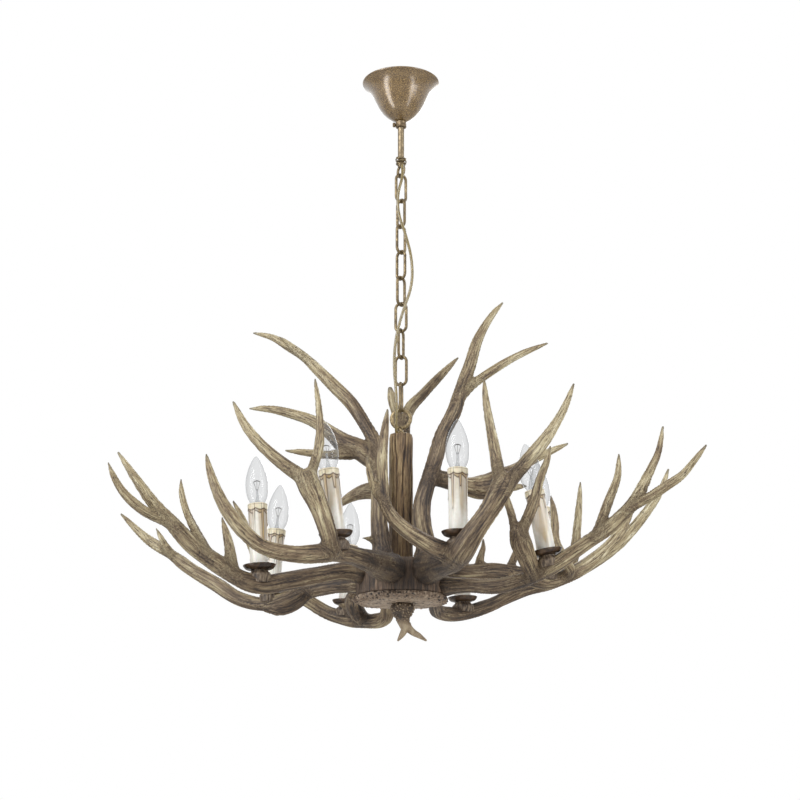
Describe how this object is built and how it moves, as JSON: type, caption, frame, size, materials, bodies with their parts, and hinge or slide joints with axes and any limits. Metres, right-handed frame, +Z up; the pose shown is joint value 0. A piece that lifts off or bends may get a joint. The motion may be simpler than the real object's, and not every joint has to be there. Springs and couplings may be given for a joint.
{
  "type": "antler chandelier",
  "caption": "Hanging chandelier: resin antlers round a log column and hub carry candle lamps, on an oval-link chain from a bell canopy and ceiling bracket.",
  "frame": {"origin": "centre of the ceiling bracket's top face, between its two screw holes, on the ceiling", "axes": "+Z up into the ceiling; -Y towards the viewer of the picture; +X to that viewer's right, along the bracket"},
  "size_m": [0.9692, 0.5605, 0.9777],
  "materials": {
    "plated_steel": "zinc plated",
    "antique_bronze": "speckled antique bronze",
    "dark_bronze": "dark antique bronze",
    "resin_antler": "hand-stained cast resin with long grooves",
    "resin_bark": "cast resin, bark grooves",
    "resin_hub": "cast resin, fibrous",
    "resin_burr": "cast resin, pearled",
    "tray_brown": "dark brown paint",
    "candle_ivory": "ivory with brushed gold drips",
    "holder_plastic": "moulded",
    "terminal_plastic": "moulded",
    "cord_gold": "clear gold sheath",
    "bulb_glass": "clear"
  },
  "bodies": {
    "ceiling_mount": {"ceiling_bracket": "plated_steel", "stem_nut": "plated_steel", "stem": "antique_bronze", "top_loop": "antique_bronze"},
    "canopy": {"canopy": "antique_bronze", "canopy_collar": "antique_bronze", "grub_screw": "antique_bronze"},
    "upper_link": {"chain_link_1": "antique_bronze"},
    "pendant": {"column_ring": "dark_bronze", "column": "resin_bark", "column_rod": "plated_steel", "hub": "resin_hub", "terminal_block": "terminal_plastic", "hub_plate": "resin_burr", "hub_nut": "plated_steel", "finial": "resin_burr", "antler_screws": "plated_steel", "supply_cord": "cord_gold", "candle_seats": "resin_burr", "drip_trays": "tray_brown", "candle_sleeves": "candle_ivory", "lamp_holders": "holder_plastic", "chain_link_2": "antique_bronze", "chain_link_3": "antique_bronze", "chain_link_4": "antique_bronze", "chain_link_5": "antique_bronze", "chain_link_6": "antique_bronze", "chain_link_7": "antique_bronze", "chain_link_8": "antique_bronze", "chain_link_9": "antique_bronze", "antler_left_front": "resin_antler", "antler_left_back": "resin_antler", "antler_front_left": "resin_antler", "antler_front_right": "resin_antler", "antler_right_front": "resin_antler", "antler_right_back": "resin_antler", "antler_back_right": "resin_antler", "antler_back_left": "resin_antler", "antler_upright_left": "resin_antler", "antler_upright_right": "resin_antler", "antler_upright_rear": "resin_antler"},
    "bulb_1": {"bulb_1": "bulb_glass"},
    "bulb_2": {"bulb_2": "bulb_glass"},
    "bulb_3": {"bulb_3": "bulb_glass"},
    "bulb_4": {"bulb_4": "bulb_glass"},
    "bulb_5": {"bulb_5": "bulb_glass"},
    "bulb_6": {"bulb_6": "bulb_glass"},
    "bulb_7": {"bulb_7": "bulb_glass"},
    "bulb_8": {"bulb_8": "bulb_glass"}
  },
  "joints": [
    {"name": "canopy_slide", "type": "slide", "parent": "ceiling_mount", "child": "canopy", "axis": [0, 0, -1], "range_m": [0, 0.045]},
    {"name": "loop_swing", "type": "hinge", "parent": "ceiling_mount", "child": "upper_link", "pos_m": [0, 0, -0.1775], "axis": [0.5, -0.866, 0], "range_deg": [-15, 15], "deforming": ["supply_cord"]},
    {"name": "link_swing", "type": "hinge", "parent": "upper_link", "child": "pendant", "pos_m": [0, 0, -0.2242], "axis": [0.866, 0.5, 0], "range_deg": [-15, 15], "deforming": ["supply_cord"]},
    {"name": "bulb_1_pull", "type": "slide", "parent": "pendant", "child": "bulb_1", "axis": [-0.0523, 0, 0.9986], "range_m": [0, 0.025]},
    {"name": "bulb_2_pull", "type": "slide", "parent": "pendant", "child": "bulb_2", "axis": [0.0698, 0, 0.9976], "range_m": [0, 0.025]},
    {"name": "bulb_3_pull", "type": "slide", "parent": "pendant", "child": "bulb_3", "axis": [-0.1219, 0, 0.9925], "range_m": [0, 0.025]},
    {"name": "bulb_4_pull", "type": "slide", "parent": "pendant", "child": "bulb_4", "axis": [0.0349, 0, 0.9994], "range_m": [0, 0.025]},
    {"name": "bulb_5_pull", "type": "slide", "parent": "pendant", "child": "bulb_5", "axis": [0, 0, 1], "range_m": [0, 0.025]},
    {"name": "bulb_6_pull", "type": "slide", "parent": "pendant", "child": "bulb_6", "axis": [-0.0349, 0, 0.9994], "range_m": [0, 0.025]},
    {"name": "bulb_7_pull", "type": "slide", "parent": "pendant", "child": "bulb_7", "axis": [-0.1736, 0, 0.9848], "range_m": [0, 0.025]},
    {"name": "bulb_8_pull", "type": "slide", "parent": "pendant", "child": "bulb_8", "axis": [-0.0698, 0, 0.9976], "range_m": [0, 0.025]}
  ]
}
